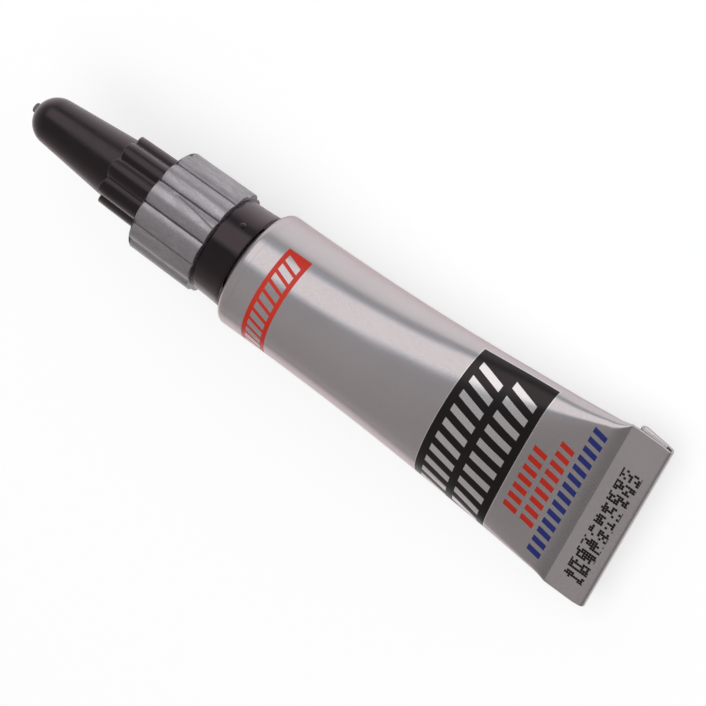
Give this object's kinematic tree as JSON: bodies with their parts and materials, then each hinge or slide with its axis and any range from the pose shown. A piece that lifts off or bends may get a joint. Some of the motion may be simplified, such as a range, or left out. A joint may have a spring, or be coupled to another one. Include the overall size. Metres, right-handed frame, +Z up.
{
  "type": "glue tube",
  "caption": "Collapsible aluminium glue tube with a folded crimp end, a screw-on fluted nozzle, a neck ring and a ribbed screw cap with a clearing pin.",
  "frame": {"origin": "on the surface that the tube lies on, under the middle of its bounding box", "axes": "+X along the tube towards the nozzle, +Z up out of the printed face, +Y across the crimp"},
  "size_m": [0.078, 0.0212, 0.0139],
  "materials": {
    "tube_lacquer": "satin silver lacquer with plain print panels",
    "foil": "bright foil",
    "latex": "dull",
    "glue": "wet clear gel",
    "black_plastic": "satin moulded",
    "grey_plastic": "satin metallic moulded",
    "pin_steel": "drawn wire"
  },
  "bodies": {
    "tube": {"tube_shell": "tube_lacquer", "neck_membrane": "foil", "end_seal": "latex", "glue_charge": "glue"},
    "ring": {"neck_ring": "black_plastic"},
    "nozzle": {"nozzle": "grey_plastic"},
    "pin": {"seal_pin": "pin_steel"},
    "cap": {"cap_shell": "black_plastic"}
  },
  "joints": [
    {"name": "nozzle_rise", "type": "slide", "parent": "tube", "child": "ring", "axis": [0.9982, 0, 0.0607], "range_m": [0, 0.005]},
    {"name": "nozzle_turn", "type": "hinge", "parent": "ring", "child": "nozzle", "pos_m": [0.01795, 0, 0.00773], "axis": [0.9982, 0, 0.0607], "range_deg": [0, 1800]},
    {"name": "cap_lift", "type": "slide", "parent": "nozzle", "child": "pin", "axis": [0.9982, 0, 0.0607], "range_m": [0, 0.018]},
    {"name": "cap_turn", "type": "hinge", "parent": "pin", "child": "cap", "pos_m": [0.01795, 0, 0.00773], "axis": [0.9982, 0, 0.0607], "range_deg": [0, 2160]}
  ],
  "couplings": [
    {"joint": "nozzle_turn", "follows": "nozzle_rise", "rad_per_m": 6283.2},
    {"joint": "cap_turn", "follows": "cap_lift", "rad_per_m": 2094.4}
  ]
}
